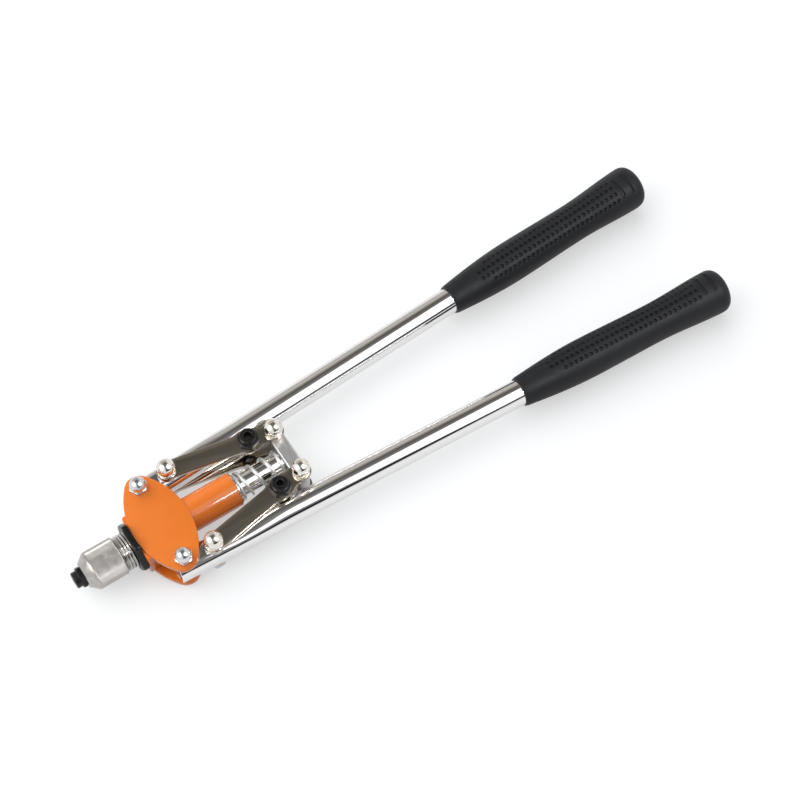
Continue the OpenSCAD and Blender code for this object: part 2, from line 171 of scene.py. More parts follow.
def merged(shapes):
    points, faces, start = [], [], 0
    for p, f in shapes:
        points.append(p)
        faces += [[i + start for i in face] for face in f]
        start += len(p)
    return np.concatenate(points), faces


def lofted(rings, closed=False):
    """Quads between rings of points; the ends are capped, or join each other if closed."""
    rings = np.asarray(rings, float)
    count, around = rings.shape[:2]
    faces = []
    for i in range(count if closed else count - 1):
        j = (i + 1) % count
        for k in range(around):
            n = (k + 1) % around
            faces.append([i * around + k, i * around + n, j * around + n, j * around + k])
    if not closed:
        faces.append(list(range(around))[::-1])
        faces.append([(count - 1) * around + k for k in range(around)])
    return rings.reshape(-1, 3), faces


def rounded(points, radius, steps=4):
    """The open line through (radius, height) points with its inner corners rounded."""
    points = [Vector(p) for p in points]
    result = [points[0]]
    for a, b, c in zip(points, points[1:], points[2:]):
        u, v = (a - b), (c - b)
        half = u.angle(v) / 2
        reach = min(radius / math.tan(half), 0.45 * u.length, 0.45 * v.length) if half < 1.5 else 0
        if reach <= 0:
            result.append(b)
            continue
        start, end = b + u.normalized() * reach, b + v.normalized() * reach
        for i in range(steps + 1):
            t = i / steps
            result.append(start * (1 - t) ** 2 + b * 2 * t * (1 - t) + end * t * t)
    return [tuple(p) for p in result + [points[-1]]]


def turned(profile, around=96, closed=False):
    """A turned solid about +Z from (radius, height) points; closed for a ring with a bore."""
    angle = np.linspace(0, 2 * math.pi, around, endpoint=False)
    rings = [np.stack([r * np.cos(angle), r * np.sin(angle), np.full(around, h)], 1) for r, h in profile]
    return lofted(rings, closed)


def hex_radius(angle, across_flats):
    """Distance from the axis to a hexagon's side, with its corners slightly rounded."""
    sharpness = 60
    total = sum(max(0, math.cos(angle - math.radians(60 * k + 30))) ** sharpness for k in range(6))
    return across_flats / 2 / total ** (1 / sharpness)


def hexagonal(profile_at, around=144, closed=False):
    """A solid about +Z whose (radius, height) profile depends on the hexagon's radius there."""
    rings = []
    for i in range(around):
        a = 2 * math.pi * i / around
        rings.append([(r * math.cos(a), r * math.sin(a), h) for r, h in profile_at(a)])
    rings = np.array(rings).transpose(1, 0, 2)
    return lofted(rings, closed)


def slab(outline, z0, z1, edge, steps=3):
    """An outline given anticlockwise, made solid from z0 to z1 with rounded edges."""
    points = np.asarray(outline, float)
    along = np.roll(points, -1, 0) - np.roll(points, 1, 0)
    along /= np.linalg.norm(along, axis=1)[:, None]
    outward = np.stack([along[:, 1], -along[:, 0]], 1)
    levels = []
    for i in range(steps + 1):
        a = math.pi / 2 * i / steps
        levels.append((edge * (1 - math.sin(a)), z0 + edge * (1 - math.cos(a))))
    levels += [(inset, z1 - (z - z0)) for inset, z in levels[::-1]]
    rings = [np.column_stack([points - outward * inset, np.full(len(points), z)]) for inset, z in levels]
    return lofted(rings)


def arc(centre, radius, start, end, steps):
    """Points of an arc, with its angles in degrees."""
    angles = np.radians(np.linspace(start, end, steps + 1))
    return [(centre[0] + radius * math.cos(a), centre[1] + radius * math.sin(a)) for a in angles]


def box_outline(x0, x1, half_y, corner):
    """A rectangle with rounded corners."""
    points = []
    for x, y, start in ((x1, half_y, 0), (x0, half_y, 90), (x0, -half_y, 180), (x1, -half_y, 270)):
        cx = x - corner * (1 if x == x1 else -1)
        cy = y - corner * (1 if y > 0 else -1)
        points += arc((cx, cy), corner, start, start + 90, 5)
    return points


def cylinder(radius, z0, z1, around=64):
    return turned([(radius, z0), (radius, z1)], around)


def rounded_box_radius(angle, half_w, half_h, corner):
    """Distance from the centre to the edge of a rectangle with rounded corners."""
    x, y = np.abs(np.cos(angle)), np.abs(np.sin(angle))
    near, far = np.zeros(len(angle)), np.full(len(angle), half_w + half_h)
    for _ in range(40):
        middle = (near + far) / 2
        beyond_x = np.maximum(middle * x - half_w + corner, 0)
        beyond_y = np.maximum(middle * y - half_h + corner, 0)
        inside = np.hypot(beyond_x, beyond_y) < corner
        near, far = np.where(inside, middle, near), np.where(inside, far, middle)
    return near


def smooth_step(t):
    t = np.clip(t, 0, 1)
    return t * t * (3 - 2 * t)


# ---------------------------------------------------------------- objects
def new_object(name, shape):
    points, faces = shape
    mesh = bpy.data.meshes.new(name)
    mesh.from_pydata((np.asarray(points) * MM).tolist(), [], faces)
    work = bmesh.new()
    work.from_mesh(mesh)
    bmesh.ops.remove_doubles(work, verts=work.verts, dist=1e-7)
    bmesh.ops.recalc_face_normals(work, faces=work.faces)
    work.to_mesh(mesh)
    work.free()
    piece = bpy.data.objects.new(name, mesh)
    bpy.context.scene.collection.objects.link(piece)
    return piece


def apply_modifiers(piece):
    graph = bpy.context.evaluated_depsgraph_get()
    mesh = bpy.data.meshes.new_from_object(piece.evaluated_get(graph))
    piece.modifiers.clear()
    piece.data = mesh


def combine(piece, shapes, operation):
    """Joins shapes to a piece or cuts them from it."""
    for shape in shapes:
        tool = new_object("tool", shape)
        step = piece.modifiers.new("combine", "BOOLEAN")
        step.operation = operation
        step.solver = "EXACT"
        step.object = tool
        apply_modifiers(piece)
        bpy.data.objects.remove(tool)


def finish_piece(piece, body, material, nodes, bevel=0.0, sharp=32):
    """Rounds the sharp edges, shades the piece, and ties it to the frame."""
    if bevel:
        step = piece.modifiers.new("edges", "BEVEL")
        step.width = bevel * MM
        step.segments = 2
        step.limit_method = "ANGLE"
        step.angle_limit = math.radians(sharp)
        apply_modifiers(piece)
    for face in piece.data.polygons:
        face.use_smooth = True
    piece.data.set_sharp_from_angle(angle=math.radians(sharp))
    piece.data.materials.clear()
    piece.data.materials.append(material)
    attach(piece, body)
    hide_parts(*nodes)
    return piece


def make(node, shape, body, material, bevel=0.12, sharp=32):
    return finish_piece(new_object(node + "_mesh", shape), body, material, [node], bevel, sharp)


# ---------------------------------------------------------------- materials
def new_material(name, base, roughness, metallic=0.0, coat=0.0, specular=0.5):
    material = bpy.data.materials.new(name)
    material.use_nodes = True
    shader = material.node_tree.nodes["Principled BSDF"]
    shader.inputs["Base Color"].default_value = (*base, 1)
    shader.inputs["Roughness"].default_value = roughness
    shader.inputs["Metallic"].default_value = metallic
    shader.inputs["Coat Weight"].default_value = coat
    shader.inputs["Coat Roughness"].default_value = 0.07
    shader.inputs["Specular IOR Level"].default_value = specular
    return material


def add_node(material, kind, **inputs):
    node = material.node_tree.nodes.new(kind)
    for key, value in inputs.items():
        node.inputs[key.replace("_", " ")].default_value = value
    return node


def noise(material, scale, detail=3.0, stretch=(1, 1, 1)):
    """Noise in the object's own space, stretched along its axes."""
    tree = material.node_tree
    place = tree.nodes.new("ShaderNodeTexCoord")
    mapping = tree.nodes.new("ShaderNodeMapping")
    mapping.inputs["Scale"].default_value = stretch
    texture = add_node(material, "ShaderNodeTexNoise", Scale=scale, Detail=detail)
    tree.links.new(place.outputs["Object"], mapping.inputs["Vector"])
    tree.links.new(mapping.outputs["Vector"], texture.inputs["Vector"])
    return texture.outputs["Fac"]


def vary_roughness(material, source, lowest, highest):
    tree = material.node_tree
    spread = add_node(material, "ShaderNodeMapRange", To_Min=lowest, To_Max=highest)
    spread.inputs["From Min"].default_value = 0.3
    spread.inputs["From Max"].default_value = 0.7
    tree.links.new(source, spread.inputs["Value"])
    tree.links.new(spread.outputs["Result"], tree.nodes["Principled BSDF"].inputs["Roughness"])


def vary_colour(material, source, first, second):
    tree = material.node_tree
    ramp = tree.nodes.new("ShaderNodeValToRGB")
    ramp.color_ramp.elements[0].position = 0.35
    ramp.color_ramp.elements[0].color = (*first, 1)
    ramp.color_ramp.elements[1].position = 0.65
    ramp.color_ramp.elements[1].color = (*second, 1)
    tree.links.new(source, ramp.inputs["Fac"])
    tree.links.new(ramp.outputs["Color"], tree.nodes["Principled BSDF"].inputs["Base Color"])


def add_bump(material, source, strength, height):
    tree = material.node_tree
    bump = add_node(material, "ShaderNodeBump", Strength=strength, Distance=height * MM)
    tree.links.new(source, bump.inputs["Height"])
    tree.links.new(bump.outputs["Normal"], tree.nodes["Principled BSDF"].inputs["Normal"])


def orange_paint():
    paint = new_material("orange_paint", (0.86, 0.205, 0.016), 0.40, coat=1.0, specular=0.2)
    vary_colour(paint, noise(paint, 60), (0.85, 0.198, 0.014), (0.875, 0.212, 0.018))
    add_bump(paint, noise(paint, 900, 2), 0.10, 0.10)
    return paint


def chrome():
    metal = new_material("chrome_plate", (0.90, 0.90, 0.905), 0.05, metallic=1)
    vary_roughness(metal, noise(metal, 40, 4, (0.15, 1, 1)), 0.03, 0.09)
    add_bump(metal, noise(metal, 120, 2, (0.05, 1, 1)), 0.03, 0.05)
    return metal


def nickel():
    metal = new_material("nickel_plate", (0.90, 0.875, 0.83), 0.10, metallic=1)
    vary_roughness(metal, noise(metal, 250, 3), 0.07, 0.15)
    return metal


def zinc():
    metal = new_material("zinc_plate", (0.70, 0.74, 0.80), 0.16, metallic=1)
    vary_roughness(metal, noise(metal, 300, 4), 0.12, 0.24)
    vary_colour(metal, noise(metal, 180), (0.64, 0.69, 0.77), (0.76, 0.79, 0.83))
    return metal


def satin_zinc():
    metal = new_material("satin_zinc", (0.66, 0.66, 0.665), 0.38, metallic=0.85)
    vary_roughness(metal, noise(metal, 500, 5), 0.32, 0.44)
    vary_colour(metal, noise(metal, 900, 5), (0.60, 0.60, 0.605), (0.76, 0.76, 0.765))
    add_bump(metal, noise(metal, 1500, 3), 0.15, 0.08)
    return metal


def link_steel():
    metal = new_material("link_steel", (0.62, 0.56, 0.48), 0.10, metallic=1)
    vary_roughness(metal, noise(metal, 90, 4, (0.2, 1, 1)), 0.07, 0.13)
    vary_colour(metal, noise(metal, 30), (0.59, 0.53, 0.45), (0.65, 0.59, 0.51))
    add_bump(metal, noise(metal, 800, 3, (0.1, 1, 1)), 0.04, 0.05)
    return metal


def nose_steel():
    metal = new_material("nose_steel", (0.50, 0.485, 0.47), 0.14, metallic=1)
    vary_roughness(metal, noise(metal, 600, 3), 0.11, 0.18)
    vary_colour(metal, noise(metal, 400, 3), (0.48, 0.465, 0.45), (0.53, 0.515, 0.50))
    return metal


def spring_steel():
    metal = new_material("spring_steel", (0.80, 0.81, 0.82), 0.32, metallic=0.8)
    vary_roughness(metal, noise(metal, 400, 3), 0.26, 0.38)
    return metal


def tool_steel():
    metal = new_material("tool_steel", (0.32, 0.32, 0.33), 0.30, metallic=1)
    vary_roughness(metal, noise(metal, 300, 4), 0.24, 0.38)
    return metal


def black_oxide():
    finish = new_material("black_oxide", (0.006, 0.006, 0.007), 0.30, specular=0.4)
    vary_roughness(finish, noise(finish, 500, 4), 0.24, 0.38)
    vary_colour(finish, noise(finish, 300, 3), (0.005, 0.005, 0.006), (0.010, 0.010, 0.011))
    add_bump(finish, noise(finish, 1500, 3), 0.12, 0.06)
    return finish


def black_rubber():
    rubber = new_material("black_rubber", (0.012, 0.013, 0.015), 0.50, specular=0.30)
    vary_roughness(rubber, noise(rubber, 120, 4), 0.46, 0.56)
    vary_colour(rubber, noise(rubber, 25, 3), (0.011, 0.012, 0.014), (0.014, 0.015, 0.018))
    add_bump(rubber, noise(rubber, 2600, 3), 0.20, 0.06)
    return rubber


PAINT = orange_paint()
CHROME = chrome()
NICKEL = nickel()
ZINC = zinc()
SATIN = satin_zinc()
STRAP = link_steel()
NOSE = nose_steel()
WIRE = spring_steel()
TOOL = tool_steel()
OXIDE = black_oxide()
RUBBER = black_rubber()


# ---------------------------------------------------------------- fasteners
def hex_side(angle, across_flats, z0, z1, chamfer_top=True):
    """The side of a hexagon from its lower face's circle to its upper face's, chamfered at 30 degrees."""
    reach = hex_radius(angle, across_flats)
    flat_r = across_flats / 2 * 0.96
    drop = max(0, reach - flat_r) * math.tan(math.radians(30))
    upper = [(reach, z1 - drop), (flat_r, z1)] if chamfer_top else [(reach, z1)]
    return [(flat_r, z0), (reach, z0 + drop)] + upper


def bolt_shape(head_z, tip_z):
    def profile(angle):
        side = hex_side(angle, HEX_AF, head_z - BOLT_HEAD_T, head_z)
        dish = [(0, head_z - BOLT_HEAD_T + 0.35), (HEX_AF * 0.36, head_z - BOLT_HEAD_T + 0.35),
                (HEX_AF * 0.40, head_z - BOLT_HEAD_T)]
        return dish + side + [(BOLT_R, head_z), (BOLT_R, tip_z - 0.5), (BOLT_R - 0.5, tip_z), (0, tip_z)]
    return hexagonal(profile)


def dome_points(centre_z, radius, foot_r, steps=14):
    """A dome's profile from its foot up to its pole."""
    start = -math.acos(foot_r / radius)
    return [(radius * math.cos(a), centre_z + radius * math.sin(a))
            for a in np.linspace(start, math.pi / 2, steps + 1)]


def cap_nut(hex_h, centre_z, radius, foot_r):
    """A nut closed by a dome, with its seat at z = 0 and a blind thread."""
    dome = dome_points(centre_z, radius, foot_r)

    def profile(angle):
        bore = [(0, centre_z), (BOLT_R, centre_z - 0.8), (BOLT_R, 0)]
        return bore + hex_side(angle, HEX_AF, 0, hex_h) + dome
    return hexagonal(profile)


def ball_nut():
    """The link nuts: a low hexagon with nearly a whole ball on it."""
    return cap_nut(hex_h=2.0, centre_z=3.4, radius=5.6, foot_r=4.75)


def dome_nut():
    """The head nuts: a taller hexagon with a plain dome."""
    return cap_nut(hex_h=3.0, centre_z=4.0, radius=4.98, foot_r=4.8)


def washer_shape(z0, z1):
    return turned([(BOLT_R, z0), (2 * BOLT_R, z0), (2 * BOLT_R, z1), (BOLT_R, z1)], 64, closed=True)


def make_fasteners():
    pivots = [at(*p) for p in PIVOT.values()]
    yoke_pins = [at(*p) for p in YOKE_PIN.values()]
    tip_z = high("link_bolt_left").z
    head_bolt = bolt_shape(-PLATE_OUT_Z, high("head_bolts").z)
    link_bolt = bolt_shape(-NUT_Z, tip_z)
    lift = at(0, 0, NUT_Z)
    make("head_bolts", merged([moved(head_bolt, p) for p in pivots]), "head", ZINC)
    nuts = [moved(dome_nut(), p @ at(0, 0, PLATE_OUT_Z)) for p in pivots]
    make("head_cap_nuts", merged(nuts), "head", ZINC)
    gap = 0.1
    head_washer = merged([washer_shape(FLAT_HALF_H + gap, PLATE_IN_Z),
                          washer_shape(-PLATE_IN_Z, -FLAT_HALF_H - gap)])
    make("head_washers", merged([moved(head_washer, p) for p in pivots]), "head", ZINC)
    make("yoke_bolts", merged([moved(link_bolt, p) for p in yoke_pins]), "pull_unit", ZINC)
    nuts = [moved(ball_nut(), p @ lift) for p in yoke_pins]
    make("yoke_cap_nuts", merged(nuts), "pull_unit", NICKEL)
    link_washer = merged([washer_shape(FLAT_HALF_H, LINK_IN_Z - gap),
                          washer_shape(-LINK_IN_Z + gap, -FLAT_HALF_H)])
    for side in SIDES:
        place, body = at(*LINK_PIN[side]), f"handle_{side}"
        make(f"link_bolt_{side}", moved(link_bolt, place), body, ZINC)
        make(f"link_cap_nut_{side}", moved(ball_nut(), place @ lift), body, NICKEL)
        make(f"link_washers_{side}", moved(link_washer, place), body, ZINC)


# ---------------------------------------------------------------- nose
def nosepiece_shape(hole_r):
    """A nosepiece with its hexagon's seat at z = 0 and its tip up."""
    hex_l, tip_z, thread_l, tail_z = 3.0, 6.2, 7.4, -9.2
    tip_r, thread_r, tail_r, hex_af = 5.0, NOSE_THREAD_R, 2.8, 12.0

    def profile(angle):
        tail = [(hole_r, tail_z), (tail_r - 0.4, tail_z), (tail_r, tail_z + 0.4), (tail_r, -thread_l)]
        thread = [(thread_r - 0.4, -thread_l), (thread_r, 0.4 - thread_l), (thread_r, 0)]
        tip = [(tip_r, hex_l), (tip_r, tip_z - 0.5), (tip_r - 0.5, tip_z), (hole_r + 0.35, tip_z),
               (hole_r, tip_z - 0.35)]
        return tail + thread + hex_side(angle, hex_af, 0, hex_l) + tip
    return hexagonal(profile, closed=True)


def triangle_wave(x):
    """0 at whole numbers and 1 halfway between them."""
    return 1 - np.abs(2 * (x - np.floor(x)) - 1)


def housing_shape():
    """The nose housing along +Z: polished cone, knurled sleeve, thread, spigot and bore."""
    front = low("nose_housing").x
    length = high("nose_housing").x - front
    cone_l, knurl_end = 5.0, 23.4
    thread_end = low("nose_lock_nut").x - front + 4.0
    front_r, sleeve_r, thread_r, cavity_z = 7.9, 11.9, 11.2, 7.9
    starts, knurl_depth, thread_pitch, thread_depth = 52, 0.6, 1.85, 0.8
    around = starts * 8
    angle = np.linspace(0, 2 * math.pi, around, endpoint=False)
    turn = angle / (2 * math.pi)
    pitch = 2 * math.pi * sleeve_r / starts / math.tan(math.radians(32))
    rings = []

    def ring(radius, z):
        radius = np.broadcast_to(radius, around)
        rings.append(np.stack([radius * np.cos(angle), radius * np.sin(angle), np.full(around, z)], 1))

    for r, z in ((NOSE_THREAD_R, 0.3), (NOSE_THREAD_R + 0.3, 0), (front_r - 0.35, 0), (front_r, 0.35)):
        ring(r, z)
    for r, z in ((sleeve_r - 0.9, cone_l - 1.0), (sleeve_r - 0.35, cone_l - 0.25),
                 (sleeve_r - 0.12, cone_l + 0.2)):
        ring(r, z)
    for z in np.arange(cone_l + 0.5, knurl_end - 0.4, 0.16):
        fade = min(1, (z - cone_l - 0.4) / 0.7, (knurl_end - 0.3 - z) / 0.5)
        left = triangle_wave(turn * starts + z / pitch)
        right = triangle_wave(turn * starts - z / pitch)
        ring(sleeve_r - knurl_depth * (1 - np.minimum(left, right) * 1.3).clip(0) * max(fade, 0), z)
    ring(sleeve_r - 0.25, knurl_end)
    ring(thread_r - 0.9, knurl_end + 0.15)
    for z in np.arange(knurl_end + 0.3, thread_end, thread_pitch / 10):
        rise = min(1, (z - knurl_end) / 0.9)
        ring(thread_r - thread_depth + thread_depth * rise * triangle_wave(z / thread_pitch - turn), z)
    for r, z in ((thread_r, thread_end), (SPIGOT_R, thread_end + 0.2), (SPIGOT_R, length - 0.4),
                 (SPIGOT_R - 0.4, length), (CAVITY_R, length), (CAVITY_R, cavity_z),
                 (NOSE_THREAD_R, cavity_z)):
        ring(r, z)
    return moved(lofted(rings, closed=True), at(front, 0, 0) @ ALONG_X)


def make_nose():
    make("nose_housing", housing_shape(), "head", NOSE, bevel=0, sharp=75)
    seat = at(low("nose_housing").x, 0, 0) @ ALONG_MINUS_X @ Matrix.Rotation(math.radians(30), 4, "Z")
    make("nosepiece", moved(nosepiece_shape(FITTED_HOLE_R), seat), "head", OXIDE)
    nut_x, nut_af, bore_r = low("nose_lock_nut").x, 28.8, 11.25
    nut_t = high("nose_lock_nut").x - nut_x

    def profile(angle):
        reach = min(hex_radius(angle, nut_af), high("nose_lock_nut").y)
        edge = max(0, reach - nut_af / 2) * 0.35 + 0.25
        return [(bore_r, 0.5), (bore_r + 0.5, 0), (nut_af / 2 - 0.6, 0), (reach - edge, edge * 0.5),
                (reach, edge), (reach, nut_t - 0.25), (reach - 0.25, nut_t), (bore_r, nut_t)]
    place = at(nut_x, 0, 0) @ ALONG_X @ Matrix.Rotation(math.radians(30), 4, "Z")
    make("nose_lock_nut", moved(hexagonal(profile, closed=True), place), "head", OXIDE, 0.25)
    for side, hole_r in SPARE_HOLE_R.items():
        seat = link_frame(side) @ at(LINK_L - LINK_BOSS_REACH, 0, LINK_OUT_Z)
        seat = seat @ Matrix.Rotation(math.radians(30), 4, "Z")
        make(f"spare_nosepiece_{side}", moved(nosepiece_shape(hole_r), seat), f"links_{side}", OXIDE)


# ---------------------------------------------------------------- head
def plate_outline():
    """Two broad arcs that meet in round ends at the handle pivots."""
    half_w = PLATE_W / 2 - PLATE_END_R
    half_l = PIVOT["right"].y + PLATE_TIP - PLATE_END_R
    side_r = (half_l ** 2 + half_w ** 2) / (2 * half_w)
    sweep = math.degrees(math.atan2(half_l, side_r - half_w))
    x = PIVOT["right"].x
    outer = side_r + PLATE_END_R
    return (arc((x + half_w - side_r, 0), outer, -sweep, sweep, 40)
            + arc((x, half_l), PLATE_END_R, sweep, 180 - sweep, 20)[1:]
            + arc((x + side_r - half_w, 0), outer, 180 - sweep, 180 + sweep, 40)[1:]
            + arc((x, -half_l), PLATE_END_R, 180 + sweep, 360 - sweep, 20)[1:-1])


def make_head():
    outline = plate_outline()
    head = new_object("head_casting_mesh", slab(outline, PLATE_IN_Z, PLATE_OUT_Z, 0.45))
    barrel_l = BARREL_END_X - HEAD_X - BLOCK_L + 1
    barrel = turned(rounded([(0, 0), (BARREL_R, 0), (BARREL_R, barrel_l), (0, barrel_l)], 0.6), 128)
    block = box_outline(HEAD_X, HEAD_X + BLOCK_L, BLOCK_HALF_W, 1.6)
    block = slab(block, -PLATE_IN_Z - 1, PLATE_IN_Z + 1, 0.3)
    # The casting's parting line stands out a little round the block
    proud = 0.25
    parting = box_outline(HEAD_X + 0.1, HEAD_X + BLOCK_L + proud, BLOCK_HALF_W + proud, 1.8)
    parting = slab(parting, -proud, proud, 0.2)
    combine(head, [slab(outline, -PLATE_OUT_Z, -PLATE_IN_Z, 0.45), block, parting,
                   moved(barrel, at(HEAD_X + BLOCK_L - 1, 0, 0) @ ALONG_X)], "UNION")
    rod_hole_r = ROD_R + 0.08
    bores = [(SPIGOT_R, HEAD_X - 1, high("nose_housing").x), (CAVITY_R, HEAD_X, BARREL_END_X - 10),
             (rod_hole_r, HEAD_X + BLOCK_L, BARREL_END_X + 1)]
    tools = [moved(cylinder(r, a, b, 96), ALONG_X) for r, a, b in bores]
    tools += [moved(cylinder(BOLT_R, -PLATE_OUT_Z - 1, PLATE_OUT_Z + 1), at(*p)) for p in PIVOT.values()]
    combine(head, tools, "DIFFERENCE")
    finish_piece(head, "head", PAINT, ["head_casting"], sharp=28)
    ring_t, ring_r = 0.9, 10.1
    ring = turned([(rod_hole_r, 0), (ring_r, 0), (ring_r, ring_t), (rod_hole_r, ring_t)], 96, closed=True)
    place = at(BARREL_END_X, 0, 0) @ ALONG_X
    make("barrel_end_ring", moved(ring, place), "head", CHROME, 0.2)


# ---------------------------------------------------------------- pull unit
def spring_shape(x0, x1, mean_r, wire_r, turns):
    """A coil spring along X with closed end turns."""
    steps, sides = 48, 14
    free = (x1 - x0) - 6 * wire_r
    rings = []
    for i in range(turns * steps + 1):
        t = i / steps
        if t < 1:
            rise = 2 * wire_r * t
        elif t > turns - 1:
            rise = 2 * wire_r + free + 2 * wire_r * (t - turns + 1)
        else:
            rise = 2 * wire_r + free * (t - 1) / (turns - 2)
        a = 2 * math.pi * t
        out = Vector((0, math.cos(a), math.sin(a)))
        centre = Vector((x0 + wire_r + rise, 0, 0)) + out * mean_r
        rings.append([tuple(centre + out * wire_r * math.cos(b) + Vector((wire_r * math.sin(b), 0, 0)))
                      for b in np.linspace(0, 2 * math.pi, sides, endpoint=False)])
    return lofted(rings)


def make_pull_unit():
    rod_x, yoke_x0, yoke_x1 = low("pull_rod").x, low("yoke").x, high("yoke").x
    thread_r, tail_r, case_end = 5.5, 5, high("jaw_case").x
    profile = [(0, rod_x), (thread_r, rod_x), (thread_r, case_end), (ROD_R - 0.5, case_end),
               (ROD_R, case_end + 0.5), (ROD_R, yoke_x0 - 0.4), (ROD_R - 0.4, yoke_x0), (tail_r, yoke_x0),
               (tail_r, yoke_x1 - 0.4), (tail_r - 0.4, yoke_x1), (0, yoke_x1)]
    make("pull_rod", moved(turned(profile, 128), ALONG_X), "pull_unit", CHROME, 0)
    half_t, pin_y, half_h = (yoke_x1 - yoke_x0) / 2, YOKE_PIN["right"].y, high("yoke").z
    outline = arc((YOKE_X, pin_y), half_t, 0, 180, 24) + arc((YOKE_X, -pin_y), half_t, 180, 360, 24)
    yoke = new_object("yoke_mesh", slab(outline, -half_h, half_h, 1.3, 5))
    tools = [moved(cylinder(BOLT_R, -half_h - 1, half_h + 1), at(*p)) for p in YOKE_PIN.values()]
    tools.append(moved(cylinder(tail_r, yoke_x0 - 1, yoke_x1 + 1), ALONG_X))
    combine(yoke, tools, "DIFFERENCE")
    finish_piece(yoke, "pull_unit", SATIN, ["yoke"], sharp=28)
    for node in ("jaw_case", "jaws", "jaw_pusher"):
        frame["nodes"][node].data.materials.clear()
        frame["nodes"][node].data.materials.append(TOOL)
    frame["nodes"]["jaw_spring"].data.materials.clear()
    frame["nodes"]["jaw_spring"].data.materials.append(WIRE)
    x0, x1 = low("return_spring").x, high("return_spring").x
    wire_r = 0.85
    spring = make("return_spring", spring_shape(x0, x1, high("return_spring").z - wire_r, wire_r, 5),
                  "head", WIRE, 0)
    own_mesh(spring)


# ---------------------------------------------------------------- handles
def handle_ring(u, shrink):
    """The tube's section at a place along it: flattened in front, round behind."""
    angle = np.linspace(0, 2 * math.pi, 128, endpoint=False)
    half_w, half_h, corner = TUBE_R - shrink, FLAT_HALF_H - shrink, FLAT_CORNER - shrink
    share = smooth_step((u - FLAT_REACH) / (ROUND_REACH - FLAT_REACH))
    flat = rounded_box_radius(angle, half_w, half_h, corner)
    radius = flat * (1 - share) + half_w * share
    return np.stack([np.full(len(angle), u), radius * np.cos(angle), radius * np.sin(angle)], 1)


def tube_shape():
    end = GRIP_REACH + GRIP_L - 2 * TUBE_WALL
    stations = [0.5 - TUBE_NOSE] + list(np.linspace(FLAT_REACH, ROUND_REACH, 16)) + [end]
    rings = [handle_ring(-TUBE_NOSE, 0.4), handle_ring(0.15 - TUBE_NOSE, 0.12)]
    rings += [handle_ring(u, 0) for u in stations]
    rings += [handle_ring(u, TUBE_WALL) for u in stations[::-1]]
    rings += [handle_ring(0.15 - TUBE_NOSE, TUBE_WALL - 0.12), handle_ring(-TUBE_NOSE, TUBE_WALL - 0.4)]
    return lofted(rings, closed=True)


def grip_radius(t):
    """Radius of the grip at a share of its length: rim, belly, waist, flared end."""
    rim, belly, waist, end = 9.3, 12.7, 12.1, GRIP_END_R
    return np.where(t < 0.34, rim + (belly - rim) * np.sin(np.clip(t / 0.34, 0, 1) * math.pi / 2),
                    np.where(t < 0.68, belly + (waist - belly) * smooth_step((t - 0.34) / 0.34),
                             waist + (end - waist) * smooth_step((t - 0.68) / 0.32)))


def grip_shape(twist):
    """A rubber grip along +X: rows of dimples on top, two grooves near the end, a mould line."""
    pitch, row_turn, dimple_r, dimple_depth = 3.55, math.radians(20.7), 1.3, 1.4
    tip, row_end = 19.0, 125.4
    groove_gap, groove_r, groove_depth = 6.5, 1.35, 1.3
    seam_turn, seam_h = 0.035, 0.15
    grooves = ((row_end + 4.7, 6.3), (row_end + 4.7 + groove_gap, 7.1))
    fine = np.radians(np.linspace(-46, 46, 121))
    coarse = np.radians(np.linspace(46, 314, 70))[1:-1]
    angle = np.concatenate([fine, coarse])
    stations = np.concatenate([np.arange(0, tip - 2, 1.5), np.arange(tip - 2, row_end + 2, pitch / 12),
                               np.arange(row_end + 2, grooves[1][0] + 2.5, 0.3),
                               np.arange(grooves[1][0] + 2.5, GRIP_L - 1, 1.0)])

    def ring(u, radius):
        turn, x = angle + twist, np.full(len(angle), GRIP_REACH + u)
        return np.stack([x, -radius * np.sin(turn), radius * np.cos(turn)], 1)

    def whole_ring(u, radius):
        return ring(u, np.full(len(angle), float(radius)))

    rings = [whole_ring(0, TUBE_R + 0.02), whole_ring(0, 9.0)]
    for u in stations:
        round_r = float(grip_radius(u / GRIP_L)) - (0.25 if u == 0 else 0)
        u = max(u, 0.15)
        radius = np.full(len(angle), round_r)
        sunk = np.zeros(len(angle))
        for row in range(4):
            first = tip + (3 if row in (0, 3) else 1) * pitch
            count = round((row_end - first) / pitch)
            index = np.clip(np.round((u - row_end) / pitch), -count, 0)
            distance = np.hypot(u - row_end - index * pitch, (angle - (row - 1.5) * row_turn) * round_r)
            sunk = np.maximum(sunk, dimple_depth * smooth_step((dimple_r - distance) / (dimple_r * 0.3)))
        for spot_u, spot_r in ((tip, 0.8), (row_end + 4.7 + groove_gap / 2, 0.6)):
            distance = np.hypot(u - spot_u, angle * round_r)
            sunk = np.maximum(sunk, 0.5 * smooth_step((spot_r - distance) / 0.4))
        for groove_u, half_l in grooves:
            beyond = np.maximum(np.abs(angle * round_r) - half_l, 0)
            distance = np.hypot(u - groove_u, beyond)
            sunk = np.maximum(sunk, groove_depth * smooth_step((groove_r - distance) / 0.5))
        for line in (math.radians(101), math.radians(259)):
            radius = radius + seam_h * np.clip(1 - np.abs(angle - line) / seam_turn, 0, 1)
        rings.append(ring(u, radius - sunk))
    for turn in np.radians([0, 14, 28, 40, 52, 62, 71, 78, 84, 88]):
        rings.append(whole_ring(GRIP_L - 0.8 + (GRIP_DOME + 0.8) * math.sin(turn),
                                GRIP_END_R * math.cos(turn) ** 0.45))
    floor = GRIP_L - 2 * TUBE_WALL
    for u, radius in ((GRIP_L + GRIP_DOME, 0.01), (floor, 0.01), (floor, TUBE_R + 0.02)):
        rings.append(whole_ring(u, radius))
    return lofted(rings, closed=True)


